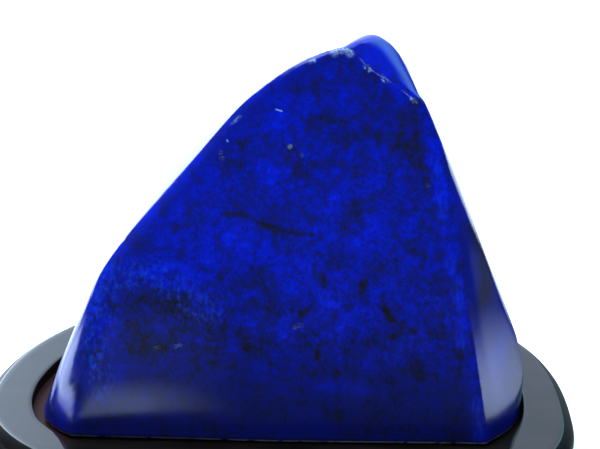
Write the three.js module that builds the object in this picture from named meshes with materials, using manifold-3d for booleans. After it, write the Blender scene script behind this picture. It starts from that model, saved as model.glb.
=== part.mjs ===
// A polished lapis lazuli freeform resting in the carved recess of a dark wooden stand.
//
// Units are millimetres, +Z is up, +X is to the right and the broad polished face of the
// stone looks towards -Y. The origin is the middle of the stand's underside.
//
// Two separate pieces:
//   lapis_stone   one lump of stone, ground flat underneath and polished in soft facets
//   wooden_stand  one turned and carved block: foot, cove, plate with a bent nose, and recess

import * as THREE from 'three';
import { ConvexGeometry } from 'three/addons/geometries/ConvexGeometry.js';
import { mergeVertices } from 'three/addons/utils/BufferGeometryUtils.js';
import Module from 'manifold-3d';

const wasm = await Module();
wasm.setup();

// ---------------------------------------------------------------- driving dimensions

// Stand, from the floor up.
const STAND_HEIGHT = 22;
const STAND_HALF_WIDTH = 95.3;
const STAND_HALF_DEPTH = 67.8;
const WIDEST_LINE_Y = -13;            // the egg is widest this far in front of the middle
const EGG_POWER_LEFT = 2.0;           // a plain ellipse on the left
const EGG_POWER_RIGHT = 2.45;         // a squarer end on the right

const FOOT_HEIGHT = 7;
const FOOT_INSET = 2.2;
const FOOT_ARRIS_RADIUS = 1;
const COVE_RADIUS = 3;
const COVE_INSET = 2.8;
const NOSE_DEPTH = 3.8;               // how far the nose stands out past the flat rim
const NOSE_FALL = 2.2;                // how steeply the nose falls away from the rim's arris

// Recess that the stone stands in.
const RECESS_DEPTH = 4;
const RECESS_CUT_ABOVE = 2;           // the cutter runs on past the rim
const SEAT_GAP = 0.3;                 // between the stone and the recess floor

// Stone.
const STONE_SHIFT_X = 2;              // middle of the stone's front lower edge
const STONE_SHIFT_Y = -29;
const FACE_LEAN = THREE.MathUtils.degToRad(10);
const ARRIS_RADIUS = 1.2;             // crisp polished edges
const EASED_RADIUS = 3.5;             // eased edges
const PEBBLE_RADIUS = 5.5;            // well rounded corners
const BACK_RADIUS = 10;               // the tumbled back
const CREST_SET_BACK = 0.4;           // the crest starts this far behind the broad face

// Roundness of the faceted shapes.
const EGG_STEPS = 88;
const NOSE_STEPS = 4;
const COVE_STEPS = 6;
const ARRIS_STEPS = 2;
const RECESS_STEPS = 72;
const BALL_DETAIL = 2;

// ---------------------------------------------------------------- manifold helpers

function solidFrom(geometry) {
  const bare = geometry.clone();
  bare.deleteAttribute('normal');
  bare.deleteAttribute('uv');
  const merged = mergeVertices(bare);
  const vertProperties = new Float32Array(merged.attributes.position.array);
  const triVerts = new Uint32Array(merged.index.array);
  return new wasm.Manifold(new wasm.Mesh({ numProp: 3, vertProperties, triVerts }));
}

function geometryFrom(solid) {
  const mesh = solid.getMesh();
  const geometry = new THREE.BufferGeometry();
  geometry.setAttribute('position', new THREE.BufferAttribute(mesh.vertProperties, 3));
  geometry.setIndex(new THREE.BufferAttribute(mesh.triVerts, 1));
  geometry.computeVertexNormals();
  return geometry;
}

// ---------------------------------------------------------------- stone

// The stone is the smooth skin stretched over small balls, one at each corner: a small ball
// leaves a crisp polished corner and a big one leaves a pebble-like shoulder. In the stone's
// own frame, z = 0 is its ground underside and y = 0 the broad face's lower edge.

function ball(x, y, z, radius) {
  return new THREE.Sphere(new THREE.Vector3(x, y, z), radius);
}

// A ball standing on the ground underside.
function footBall(x, y, radius) {
  return ball(x, y, radius, radius);
}

// A ball touching the broad face from behind, `along` the lean of the face.
function faceBall(x, along, radius, setBack = 0) {
  const depth = radius + setBack;
  const y = along * Math.sin(FACE_LEAN) + depth * Math.cos(FACE_LEAN);
  const z = along * Math.cos(FACE_LEAN) - depth * Math.sin(FACE_LEAN);
  return ball(x, y, z, radius);
}

// A ball touching both the broad face and the ground underside.
function faceFootBall(x, radius) {
  const y = radius * (1 + Math.sin(FACE_LEAN)) / Math.cos(FACE_LEAN);
  return ball(x, y, radius, radius);
}

function skinOver(balls) {
  const points = [];
  for (const { center, radius } of balls) {
    const surface = new THREE.IcosahedronGeometry(radius, BALL_DETAIL).attributes.position;
    for (let i = 0; i < surface.count; i += 1) {
      const point = new THREE.Vector3().fromBufferAttribute(surface, i).add(center);
      point.z = Math.max(point.z, 0);
      points.push(point);
    }
  }
  return new ConvexGeometry(points);
}

// Balls laid close together along a smooth curve through a few of them.
function rowOf(stations, count) {
  const route = new THREE.CatmullRomCurve3(stations.map(({ center }) => center), false, 'centripetal');
  const row = [];
  for (let i = 0; i < count; i += 1) {
    const share = i / (count - 1);
    const place = share * (stations.length - 1);
    const before = Math.min(Math.floor(place), stations.length - 2);
    const [from, to] = [stations[before].radius, stations[before + 1].radius];
    const radius = THREE.MathUtils.lerp(from, to, place - before);
    row.push(new THREE.Sphere(route.getPoint(share), radius));
  }
  return row;
}

// The same for balls that all touch the broad face. A station is [x, along, radius].
function faceRowOf(stations, count) {
  const corners = stations.map((station) => new THREE.Vector3(...station));
  const route = new THREE.CatmullRomCurve3(corners, false, 'centripetal');
  return route.getPoints(count - 1).map(({ x, y, z }) => faceBall(x, y, z));
}

// From the tip at the top, over the shoulder and down the left slope to the soft corner.
const leftShoulder = [
  [15.3, 124.8, ARRIS_RADIUS], [8.8, 122.1, 1.8], [1.4, 118.0, 2.2],
  [-5.9, 112.3, 2.6], [-12.1, 106.5, 3.0],
];
const softCorner = [
  [-50.9, 54.1, 6], [-54.6, 47.4, 6], [-56.7, 38.5, 7.5],
  [-58, 31, 9], [-60.5, 22.3, 10], [-63.2, 13.6, 10],
];

const broadFace = [
  faceFootBall(63.4, ARRIS_RADIUS),
  faceBall(51.8, 55, 2.2),
  faceBall(43.5, 95.6, 2.8),
  faceBall(37.8, 109.0, 2.2),
  ...faceRowOf(leftShoulder, 9),
  ...faceRowOf(softCorner, 11),
  faceFootBall(-63.2, ARRIS_RADIUS),
];

const rightFacets = [
  ball(57.8, 11.2, 32, EASED_RADIUS),
  ball(54.8, 13, 45, EASED_RADIUS),
  ball(37.6, 30, 100.4, PEBBLE_RADIUS),
  ball(43.4, 22, 87.5, PEBBLE_RADIUS),
  ball(50.7, 24, 63.5, PEBBLE_RADIUS),
  ball(60.0, 27, 40, PEBBLE_RADIUS),
  ball(69.6, 27, 23, PEBBLE_RADIUS),
  ball(72.2, 25, 12, PEBBLE_RADIUS),
  footBall(69.3, 7.3, ARRIS_RADIUS),
  footBall(72.4, 11.2, ARRIS_RADIUS),
  footBall(74.6, 16.0, ARRIS_RADIUS),
  footBall(76.0, 21, ARRIS_RADIUS),
  footBall(76.2, 33, ARRIS_RADIUS),
];

const leftFacets = [
  ball(-17.5, 27, 93.5, PEBBLE_RADIUS),
  ball(-29.8, 28, 82.4, PEBBLE_RADIUS),
  ball(-40.5, 31, 68.4, PEBBLE_RADIUS),
  ball(-51, 30, 50.8, PEBBLE_RADIUS),
  footBall(-66.2, 1.4, ARRIS_RADIUS),
  footBall(-69.4, 3.6, ARRIS_RADIUS),
  footBall(-72.5, 6.4, ARRIS_RADIUS),
  footBall(-75.2, 10.2, ARRIS_RADIUS),
  footBall(-76.2, 16, ARRIS_RADIUS),
  footBall(-75.0, 28, ARRIS_RADIUS),
];

const tumbledBack = [
  ball(13, 60, 70, BACK_RADIUS),
  ball(-20, 58, 52, BACK_RADIUS),
  ball(43, 52, 38, BACK_RADIUS),
  ball(-50, 48, 18, BACK_RADIUS),
  ball(0, 64, 28, BACK_RADIUS),
  footBall(70.5, 45, EASED_RADIUS),
  footBall(58.5, 56, EASED_RADIUS),
  footBall(40, 66, EASED_RADIUS),
  footBall(15, 72, EASED_RADIUS),
  footBall(-15, 71, EASED_RADIUS),
  footBall(-40, 63, EASED_RADIUS),
  footBall(-59, 51, EASED_RADIUS),
  footBall(-69.5, 39, EASED_RADIUS),
];

// The crest rises behind the short edge at the top of the broad face, like the end of a
// pebble: its ridge is one smooth curve.
const crestRidge = [
  ball(20.9, 31, 117.4, 5.8),
  ball(24.2, 33, 118.2, 6.2),
  ball(28.2, 34, 114.9, 6.2),
  ball(32.0, 33, 109.2, 6.2),
  ball(35.4, 31, 102.6, 6),
];
const crestBalls = [
  faceBall(15.3, 124.4, ARRIS_RADIUS, CREST_SET_BACK),
  faceBall(37.6, 108.8, 1.8, CREST_SET_BACK),
  ...rowOf(crestRidge, 9),
  ball(13, 59, 70, 9.5),
];

function makeStone() {
  const body = solidFrom(skinOver([...broadFace, ...rightFacets, ...leftFacets, ...tumbledBack]));
  const crest = solidFrom(skinOver(crestBalls));
  return geometryFrom(body.add(crest));
}

// ---------------------------------------------------------------- stand

// A point of the egg-shaped outline, moved inwards by `inset`. The egg is made of quarter
// superellipses: shallow at the front, deep at the back, squarer on the right.
function eggPoint(angle, inset) {
  const across = Math.cos(angle);
  const away = Math.sin(angle);
  const power = 2 / (across > 0 ? EGG_POWER_RIGHT : EGG_POWER_LEFT);
  const depth = away > 0 ? STAND_HALF_DEPTH - WIDEST_LINE_Y
    : STAND_HALF_DEPTH + WIDEST_LINE_Y;
  const x = (STAND_HALF_WIDTH - inset) * Math.sign(across) * Math.abs(across) ** power;
  const y = (depth - inset) * Math.sign(away) * Math.abs(away) ** power;
  return new THREE.Vector2(x, y + WIDEST_LINE_Y);
}

// Half section of the stand, from the middle of the underside to the middle of the top.
function standProfile() {
  const footEdge = STAND_HALF_WIDTH - FOOT_INSET;
  const coveCentre = STAND_HALF_WIDTH - COVE_INSET;
  const rimEdge = STAND_HALF_WIDTH - NOSE_DEPTH;
  const plateUnderside = FOOT_HEIGHT + 2 * COVE_RADIUS;
  const noseHalfHeight = (STAND_HEIGHT - plateUnderside) / 2;

  const quarter = Math.PI / 2;
  const arris = new THREE.EllipseCurve(footEdge - FOOT_ARRIS_RADIUS, FOOT_ARRIS_RADIUS,
    FOOT_ARRIS_RADIUS, FOOT_ARRIS_RADIUS, -quarter, 0, false);
  const cove = new THREE.EllipseCurve(coveCentre, FOOT_HEIGHT + COVE_RADIUS,
    COVE_RADIUS, COVE_RADIUS, -quarter, -3 * quarter, true);
  const widest = new THREE.Vector2(STAND_HALF_WIDTH, plateUnderside + noseHalfHeight);
  const noseUnder = new THREE.QuadraticBezierCurve(new THREE.Vector2(rimEdge, plateUnderside),
    new THREE.Vector2(STAND_HALF_WIDTH, plateUnderside + NOSE_FALL), widest);
  const noseOver = new THREE.QuadraticBezierCurve(widest,
    new THREE.Vector2(STAND_HALF_WIDTH, STAND_HEIGHT - NOSE_FALL),
    new THREE.Vector2(rimEdge, STAND_HEIGHT));

  return [
    new THREE.Vector2(0, 0),
    ...arris.getPoints(ARRIS_STEPS),
    new THREE.Vector2(footEdge, FOOT_HEIGHT),
    ...cove.getPoints(COVE_STEPS),
    ...noseUnder.getPoints(NOSE_STEPS),
    ...noseOver.getPoints(NOSE_STEPS).slice(1),
    new THREE.Vector2(0, STAND_HEIGHT),
  ];
}

// The profile is turned into a round block, and each ring is then pushed out to the egg.
function makeBlock() {
  const round = new THREE.LatheGeometry(standProfile(), EGG_STEPS);
  round.rotateX(Math.PI / 2);
  const position = round.attributes.position;
  for (let i = 0; i < position.count; i += 1) {
    const radius = Math.hypot(position.getX(i), position.getY(i));
    const angle = Math.atan2(position.getY(i), position.getX(i));
    const isOnAxis = radius < 1;
    const place = isOnAxis ? new THREE.Vector2() : eggPoint(angle, STAND_HALF_WIDTH - radius);
    position.setXY(i, place.x, place.y);
  }
  return round;
}

// The recess follows the foot of the stone at a few millimetres, wider at the front.
const recessOutline = [
  [-78.6, -3], [-79, -15], [-75.8, -25.3], [-70, -32], [-66, -36.5], [-63.2, -42.3],
  [-57, -48.5], [-43, -51.5], [2, -52.5], [47, -51], [64, -46], [71, -38],
  [74, -29], [77.4, -21], [79.8, -13], [81, 2], [76.4, 17], [62.5, 32.5],
  [40, 43.5], [15, 49.5], [-14, 48.5], [-40, 41], [-61, 28], [-73, 13],
];

function makeRecessCutter() {
  const corners = recessOutline.map(([x, y]) => new THREE.Vector3(x, y, 0));
  const edge = new THREE.CatmullRomCurve3(corners, true, 'centripetal');
  const outline = new THREE.Shape(edge.getPoints(RECESS_STEPS).slice(0, -1));
  const cutter = new THREE.ExtrudeGeometry(outline, {
    depth: RECESS_DEPTH + RECESS_CUT_ABOVE,
    bevelEnabled: false,
  });
  cutter.translate(0, 0, STAND_HEIGHT - RECESS_DEPTH);
  return cutter;
}

function makeStand() {
  const block = solidFrom(makeBlock());
  const cutter = solidFrom(makeRecessCutter());
  return geometryFrom(block.subtract(cutter));
}

// ---------------------------------------------------------------- assembly

const lapis = new THREE.MeshStandardMaterial({ color: 0x0a1c8c, roughness: 0.15, metalness: 0 });
const lacqueredWood = new THREE.MeshStandardMaterial({ color: 0x1c1416, roughness: 0.25, metalness: 0 });

const stone = new THREE.Mesh(makeStone(), lapis);
stone.name = 'lapis_stone';
stone.position.set(STONE_SHIFT_X, STONE_SHIFT_Y, STAND_HEIGHT - RECESS_DEPTH + SEAT_GAP);

const stand = new THREE.Mesh(makeStand(), lacqueredWood);
stand.name = 'wooden_stand';

const specimen = new THREE.Group();
specimen.add(stone, stand);

export default specimen;
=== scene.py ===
# %% [markdown]
# # A polished lapis lazuli freeform on its wooden stand
#
# This lesson dresses a small display piece: one lump of deep blue stone, cut with a broad
# leaning face and polished all over, standing in the shallow recess of an oval lacquered
# base. The construction model gives both pieces at their real size. Here each piece gets
# its fine surface and its finish.

import math

import bmesh
import bpy
import numpy as np
from mathutils import Matrix, Vector, noise


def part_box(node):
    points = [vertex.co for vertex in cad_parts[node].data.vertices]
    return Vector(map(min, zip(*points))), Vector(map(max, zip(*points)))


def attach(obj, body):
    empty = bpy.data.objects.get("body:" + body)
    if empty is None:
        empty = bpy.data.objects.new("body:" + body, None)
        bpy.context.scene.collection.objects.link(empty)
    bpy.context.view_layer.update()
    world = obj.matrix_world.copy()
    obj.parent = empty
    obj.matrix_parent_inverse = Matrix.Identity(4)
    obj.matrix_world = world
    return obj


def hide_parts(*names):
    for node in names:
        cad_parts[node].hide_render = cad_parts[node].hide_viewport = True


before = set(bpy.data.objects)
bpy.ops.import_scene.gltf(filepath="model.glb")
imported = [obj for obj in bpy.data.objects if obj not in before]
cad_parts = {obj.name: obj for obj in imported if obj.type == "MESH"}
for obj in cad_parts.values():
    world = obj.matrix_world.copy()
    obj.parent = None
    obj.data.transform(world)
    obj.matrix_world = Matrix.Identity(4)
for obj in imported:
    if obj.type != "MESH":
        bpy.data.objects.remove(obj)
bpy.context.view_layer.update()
stone_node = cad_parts["lapis_stone"]
stand_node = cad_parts["wooden_stand"]

# %% [markdown]
# ## Units
#
# Blender works in metres here, and a maker of small stands thinks in millimetres. One
# factor turns one into the other, so every size below can be read as a maker's size.

# %% Millimetres
MM = 0.001


def mm_point(x, y, z):
    """A point given in millimetres, as Blender wants it."""
    return Vector((x * MM, y * MM, z * MM))


def corners_mm(node_name):
    """Lowest and highest corner of a construction node, in millimetres."""
    low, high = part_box(node_name)
    return Vector(low) / MM, Vector(high) / MM


stand_low, stand_high = corners_mm("wooden_stand")
stone_low, stone_high = corners_mm("lapis_stone")
print("stand", [round(side, 1) for side in stand_high - stand_low], "mm")

# %% [markdown]
# ## The camera
#
# A studio camera stands well back with a long lens, so that the stone keeps its proportions,
# and looks down a little so that the top of the stand shows. It could be aimed with a Track
# To constraint, but a fixed place with a stated tilt and roll is easier to repeat, so that
# is used.

# %% Camera
CAMERA_PLACE = (5.6, -480.9, 314.7)
CAMERA_TILT_DOWN = 26.0
CAMERA_ROLL = 1.5
FIELD_OF_VIEW = 20.0
SENSOR_WIDTH = 36.0
NEAREST_SEEN, FURTHEST_SEEN = 0.01, 20.0       # metres

camera_data = bpy.data.cameras.new("camera")
camera_data.sensor_width = SENSOR_WIDTH
camera_data.lens = SENSOR_WIDTH / 2 / math.tan(math.radians(FIELD_OF_VIEW / 2))
camera_data.clip_start = NEAREST_SEEN
camera_data.clip_end = FURTHEST_SEEN
camera = bpy.data.objects.new("camera", camera_data)
looking = Matrix.Rotation(math.radians(90 - CAMERA_TILT_DOWN), 4, "X")
rolling = Matrix.Rotation(math.radians(CAMERA_ROLL), 4, "Z")
camera.matrix_world = Matrix.Translation(mm_point(*CAMERA_PLACE)) @ looking @ rolling
bpy.context.scene.collection.objects.link(camera)
bpy.context.scene.camera = camera
bpy.context.scene.view_settings.view_transform = "Standard"
print("lens", round(camera_data.lens, 1), "mm")

# %% [markdown]
# ## Small helpers for materials
#
# A material in Blender is a graph of nodes. Building it in code is easier to read when one
# short call adds a node, sets its options and plugs in its inputs.

# %% Node helpers


def add_node(tree, kind, inputs=None, **options):
    """Adds one node, sets its options, and sets or links its inputs."""
    made = tree.nodes.new(kind)
    for name, value in options.items():
        setattr(made, name, value)
    for socket, value in (inputs or {}).items():
        if isinstance(value, bpy.types.NodeSocket):
            tree.links.new(value, made.inputs[socket])
        else:
            made.inputs[socket].default_value = value
    return made


def maths(tree, operation, first, second=0.5):
    """One Math node, returned as its output."""
    return add_node(tree, "ShaderNodeMath", {0: first, 1: second}, operation=operation).outputs[0]


def times(tree, *factors):
    """Several values multiplied."""
    product = factors[0]
    for factor in factors[1:]:
        product = maths(tree, "MULTIPLY", product, factor)
    return product


def vector_maths(tree, operation, first, second):
    """One Vector Math node, returned as its outputs."""
    return add_node(tree, "ShaderNodeVectorMath", {0: first, 1: second}, operation=operation).outputs


def between(tree, value, start, end, low=0.0, high=1.0, smooth=True):
    """Runs smoothly from low to high while the value goes from start to end."""
    kind = "SMOOTHSTEP" if smooth else "LINEAR"
    made = add_node(
        tree, "ShaderNodeMapRange",
        {"Value": value, "From Min": start, "From Max": end, "To Min": low, "To Max": high},
        interpolation_type=kind,
    )
    return made.outputs["Result"]


def cloud(tree, where, lumps, detail=3.0, roughness=0.5, distortion=0.0):
    """The value of a noise with so many lumps in a metre."""
    made = add_node(
        tree, "ShaderNodeTexNoise",
        {"Vector": where, "Scale": lumps, "Detail": detail, "Roughness": roughness, "Distortion": distortion},
    )
    return made.outputs["Fac"]


def mixed(tree, amount, first, second, blend="MIX"):
    """Two colours mixed by an amount."""
    made = add_node(tree, "ShaderNodeMix", data_type="RGBA", blend_type=blend)
    for index, value in ((0, amount), (6, first), (7, second)):
        if isinstance(value, bpy.types.NodeSocket):
            tree.links.new(value, made.inputs[index])
        else:
            made.inputs[index].default_value = value
    return made.outputs[2]


def ramp(tree, value, stops):
    """A colour ramp from (position, colour) stops."""
    made = add_node(tree, "ShaderNodeValToRGB", {"Fac": value})
    elements = made.color_ramp.elements
    while len(elements) < len(stops):
        elements.new(0.5)
    for element, (position, colour) in zip(elements, stops):
        element.position = position
        element.color = (*colour, 1.0)
    return made.outputs["Color"]


def new_material(name):
    """An empty material with an output, and its node tree."""
    material = bpy.data.materials.new(name)
    material.use_nodes = True
    material.node_tree.nodes.clear()
    return material, material.node_tree


def finish_material(tree, shader):
    """Plugs a shader into the material's output."""
    add_node(tree, "ShaderNodeOutputMaterial", {"Surface": shader.outputs[0]})


print("helpers ready")

# %% [markdown]
# ## Light
#
# A polished stone shows its surroundings, so what stands around it matters as much as the
# lamps. The room in front is dark, which keeps the broad face deep blue. Behind is a bright
# white wall, brightest at the left. Overhead is a lit ceiling with a dark beam, a wide lamp
# hangs high in front at the left, and a bluish window behind at the right catches the crest.
# All this could be built from lamps and cards. It is simpler to paint it on the World by
# compass direction, because it then lights everything softly and never gets in a view.
# Camera rays see plain white.

# %% Compass directions
BLACK = (0.0, 0.0, 0.0, 1.0)

world = bpy.data.worlds.new("studio")
world.use_nodes = True
sky = world.node_tree
sky.nodes.clear()
direction = add_node(sky, "ShaderNodeTexCoord").outputs["Generated"]
way = add_node(sky, "ShaderNodeSeparateXYZ", {0: direction}).outputs
azimuth = maths(sky, "DEGREES", maths(sky, "ARCTAN2", way["X"], times(sky, way["Y"], -1.0)))
elevation = maths(sky, "DEGREES", maths(sky, "ARCSINE", way["Z"]))


def turn_from(centre):
    """Degrees of azimuth from a centre, -180 to 180. 0 is the camera's side, 90 the right."""
    away = maths(sky, "SUBTRACT", azimuth, centre)
    wrapped = add_node(sky, "ShaderNodeMath", {0: away, 1: 180.0, 2: -180.0}, operation="WRAP")
    return wrapped.outputs[0]


def patch(centre, half_width, low, high, edge):
    """1 inside a stretch of azimuth and elevation, 0 outside, with soft edges."""
    sideways = maths(sky, "ABSOLUTE", turn_from(centre))
    inside = between(sky, sideways, half_width, half_width + edge, 1.0, 0.0)
    above = between(sky, elevation, low - edge, low)
    below = between(sky, elevation, high, high + edge, 1.0, 0.0)
    return times(sky, inside, above, below)


def hump(value, start, full, wane, end):
    """0 up to a start, 1 from full to wane and 0 past an end, with smooth slopes."""
    return times(sky, between(sky, value, start, full), between(sky, value, wane, end, 1.0, 0.0))


def lit(amount, colour, strength):
    """A colour of light, as strong as the amount says."""
    return mixed(sky, amount, BLACK, (*(strength * part for part in colour), 1.0))


def both(first, second):
    """Two lights added up."""
    return mixed(sky, 1.0, first, second, "ADD")


print("directions take", len(sky.nodes), "nodes")

# %% Wall
WALL_CENTRE = 180.0
WALL_HALF_TURN = 60.0
WALL_TOP = 46.0
WALL_TOP_FADE = 4.0
WALL_TINT = (0.80, 1.02, 1.30)
WALL_STOPS = [
    # share of the wall from its right end to its left end, brightness
    (0.285, 0.00), (0.300, 0.90), (0.414, 1.29), (0.500, 1.60), (0.563, 2.00),
    (0.598, 2.70), (0.660, 4.50), (0.720, 7.00), (0.895, 10.0), (0.915, 0.00),
]
WALL_BOOST = 10.0          # a ramp holds no colour past 1, so the wall is painted dim and boosted

along_wall = between(sky, turn_from(WALL_CENTRE), -WALL_HALF_TURN, WALL_HALF_TURN, smooth=False)
wall_colours = [
    (place, tuple(bright / WALL_BOOST * part for part in WALL_TINT)) for place, bright in WALL_STOPS
]
wall_height = between(sky, elevation, WALL_TOP, WALL_TOP + WALL_TOP_FADE, 1.0, 0.0)
dim_wall = mixed(sky, wall_height, BLACK, ramp(sky, along_wall, wall_colours))
wall = mixed(sky, 1.0, dim_wall, (WALL_BOOST, WALL_BOOST, WALL_BOOST, 1.0), "MULTIPLY")
print("wall of", len(WALL_STOPS), "stops")

# %% Ceiling, lamp and window
DAYLIGHT = (0.80, 1.00, 1.12)
# centre, half width, lowest, highest and soft edge, in degrees
CEILING = (180.0, 180.0, 50.0, 90.0, 4.0)
BEAM = (96.0, 26.0, 30.0, 66.0, 6.0)
FRONT_LAMP = (-40.0, 75.0, 56.0, 90.0, 6.0)
CEILING_GLOW = 1.5
FRONT_GLOW = 3.0
# degrees at which the window behind starts, is full, wanes and ends
WINDOW_TURN = (107.0, 132.0, 150.0, 162.0)
WINDOW_RISE = (-4.0, 38.0, 42.0, 54.0)
WINDOW_TINT = (0.40, 1.00, 1.12)
WINDOW_GLOW = 2.1

open_ceiling = times(sky, patch(*CEILING), between(sky, patch(*BEAM), 0.0, 1.0, 1.0, 0.0))
ceiling = lit(open_ceiling, DAYLIGHT, CEILING_GLOW)
front_lamp = lit(patch(*FRONT_LAMP), DAYLIGHT, FRONT_GLOW)
window_shape = times(sky, hump(azimuth, *WINDOW_TURN), hump(elevation, *WINDOW_RISE))
window = lit(window_shape, WINDOW_TINT, WINDOW_GLOW)
print("three lights in a dark room")

# %% The whole room
ROOM_GREY = (0.020, 0.030, 0.040, 1.0)
WHITE_SEEN = (1.15, 1.15, 1.15, 1.0)

room = both(both(ROOM_GREY, both(ceiling, both(front_lamp, window))), wall)
studio = add_node(sky, "ShaderNodeBackground", {"Color": room, "Strength": 1.0})
plain_white = add_node(sky, "ShaderNodeBackground", {"Color": WHITE_SEEN, "Strength": 1.0})
seen = add_node(sky, "ShaderNodeLightPath").outputs["Is Camera Ray"]
shown = add_node(sky, "ShaderNodeMixShader", {0: seen, 1: studio.outputs[0], 2: plain_white.outputs[0]})
add_node(sky, "ShaderNodeOutputWorld", {"Surface": shown.outputs[0]})
bpy.context.scene.world = world
print("studio painted with", len(sky.nodes), "nodes")

# %% [markdown]
# ## One softbox
#
# The painted room alone would light the front of the stone as strongly as its top. A square
# softbox high behind the stone at the left gives the top edges and the sheet more light than
# the broad face. A lamp card on the World would do, but it would show in the polish too, while
# an area lamp can be kept out of mirror reflections.

# %% Softbox
SOFTBOX_PLACE = (-260, 200, 820)
SOFTBOX_AIM = (0, 0, 60)
SOFTBOX_SIDE = 500
SOFTBOX_POWER = 12.0
SOFTBOX_TINT = (0.86, 0.96, 1.0)

softbox_data = bpy.data.lights.new("softbox", "AREA")
softbox_data.shape = "SQUARE"
softbox_data.size = SOFTBOX_SIDE * MM
softbox_data.energy = SOFTBOX_POWER
softbox_data.color = SOFTBOX_TINT
softbox = bpy.data.objects.new("softbox", softbox_data)
toward = mm_point(*SOFTBOX_AIM) - mm_point(*SOFTBOX_PLACE)
aiming = toward.to_track_quat("-Z", "Y").to_matrix().to_4x4()
softbox.matrix_world = Matrix.Translation(mm_point(*SOFTBOX_PLACE)) @ aiming
softbox.visible_glossy = False
softbox.visible_camera = False
bpy.context.scene.collection.objects.link(softbox)
print("softbox", SOFTBOX_SIDE, "mm square")

# %% [markdown]
# ## Floor
#
# The piece stands on a plain white sheet. Its polished facets mirror the sheet, and what they
# show is uneven: pools of daylight at the sides and behind, and a dim room in front. Loose
# cards could be laid around to get those patches. Here the sheet itself is given two looks:
# plain white for the eye, and painted light, pools of glow that only mirror reflections see.

# %% The sheet
SHEET_HALF_SIDE = 900
SHEET_LUMPS = 6.0
SHEET_TONES = [(0.3, (0.86, 0.86, 0.86)), (0.7, (0.9, 0.9, 0.9))]
SHEET_ROUGHNESS = 0.7

sheet_shape = bmesh.new()
bmesh.ops.create_grid(sheet_shape, x_segments=1, y_segments=1, size=SHEET_HALF_SIDE * MM)
floor_mesh = bpy.data.meshes.new("floor")
sheet_shape.to_mesh(floor_mesh)
sheet_shape.free()
floor = bpy.data.objects.new("floor", floor_mesh)
bpy.context.scene.collection.objects.link(floor)

sheet_material, sheet_tree = new_material("white_sheet")
sheet_place = add_node(sheet_tree, "ShaderNodeTexCoord").outputs["Object"]
sheet_way = add_node(sheet_tree, "ShaderNodeSeparateXYZ", {0: sheet_place}).outputs
sheet_colour = ramp(sheet_tree, cloud(sheet_tree, sheet_place, SHEET_LUMPS), SHEET_TONES)
sheet = add_node(
    sheet_tree, "ShaderNodeBsdfPrincipled", {"Base Color": sheet_colour, "Roughness": SHEET_ROUGHNESS}
)
print("floor", [round(side, 2) for side in floor.dimensions])

# %% Pools of glow for the reflections
# painted light: each pool is a patch of glow on the sheet that only mirror reflections see
POOLS = [
    # centre x, y; reach to the right, left, back and front, all in mm; glow; soft from, to
    (-380, -60, 250, 600, 205, 330, 6.0, 0.66, 1.00),
    (-220, 110, 140, 200, 120, 90, 4.0, 0.60, 1.10),
    (-700, 650, 350, 500, 600, 420, 6.0, 0.80, 1.10),
    (-240, 340, 240, 260, 300, 240, 6.0, 0.80, 1.10),
    (170, 170, 90, 110, 120, 60, 2.0, 0.50, 1.10),
    (420, 130, 150, 150, 120, 120, 0.22, 0.20, 1.10),
    (-70, -170, 48, 48, 50, 80, 1.75, 0.20, 1.15),
    (-90, -330, 85, 110, 300, 300, 0.17, 0.30, 1.00),
    (0, 500, 900, 600, 1000, 300, 3.0, 0.80, 1.00),
]
RIGHT_POOL = (250, -30, 190, 190, 140, 140, 3.4, 0.00, 1.20)
RIGHT_POOL_FRONT = (-44, -36)        # this pool is cut off in front, over these 8 mm
LEAST_GLOW = 0.02
GLOW_TINT = (0.80, 1.00, 1.24, 1.0)


def reach(coordinate, centre, further, nearer):
    """Distance from a pool's centre along one axis, as a share of its reach on that side."""
    away = maths(sheet_tree, "SUBTRACT", coordinate, centre * MM)
    forwards = maths(sheet_tree, "DIVIDE", away, further * MM)
    backwards = maths(sheet_tree, "DIVIDE", away, -nearer * MM)
    return maths(sheet_tree, "MAXIMUM", forwards, backwards)


def pool(x, y, right, left, back, front, glow, inner, outer):
    """The glow of one pool at each point of the sheet."""
    across = maths(sheet_tree, "POWER", reach(sheet_way["X"], x, right, left), 2.0)
    away = maths(sheet_tree, "POWER", reach(sheet_way["Y"], y, back, front), 2.0)
    distance = maths(sheet_tree, "SQRT", maths(sheet_tree, "ADD", across, away))
    return between(sheet_tree, distance, inner, outer, glow, 0.0)


cut_start, cut_end = (edge * MM for edge in RIGHT_POOL_FRONT)
right_pool = times(sheet_tree, pool(*RIGHT_POOL), between(sheet_tree, sheet_way["Y"], cut_start, cut_end))
sheet_glow = maths(sheet_tree, "MAXIMUM", right_pool, LEAST_GLOW)
for settings in POOLS:
    sheet_glow = maths(sheet_tree, "MAXIMUM", pool(*settings), sheet_glow)
mirrored = add_node(sheet_tree, "ShaderNodeEmission", {"Color": GLOW_TINT, "Strength": sheet_glow})
in_mirror = add_node(sheet_tree, "ShaderNodeLightPath").outputs["Is Glossy Ray"]
sheet_seen = add_node(
    sheet_tree, "ShaderNodeMixShader", {0: in_mirror, 1: sheet.outputs[0], 2: mirrored.outputs[0]}
)
finish_material(sheet_tree, sheet_seen)
floor_mesh.materials.append(sheet_material)
print("sheet painted with", len(sheet_tree.nodes), "nodes")

# %% [markdown]
# ## The stand: outline
#
# The stand is egg-shaped in plan, shallow in front and deep behind, and a little squarer at
# its right end. A superellipse draws such an outline from a few numbers. The recess was
# carved freehand around the foot of the stone, so no formula draws it. Its outline is read
# from the construction model, where the floor of the recess meets its wall, and drawn in a
# little at the right end, where the carver fitted it snugly.

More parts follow.
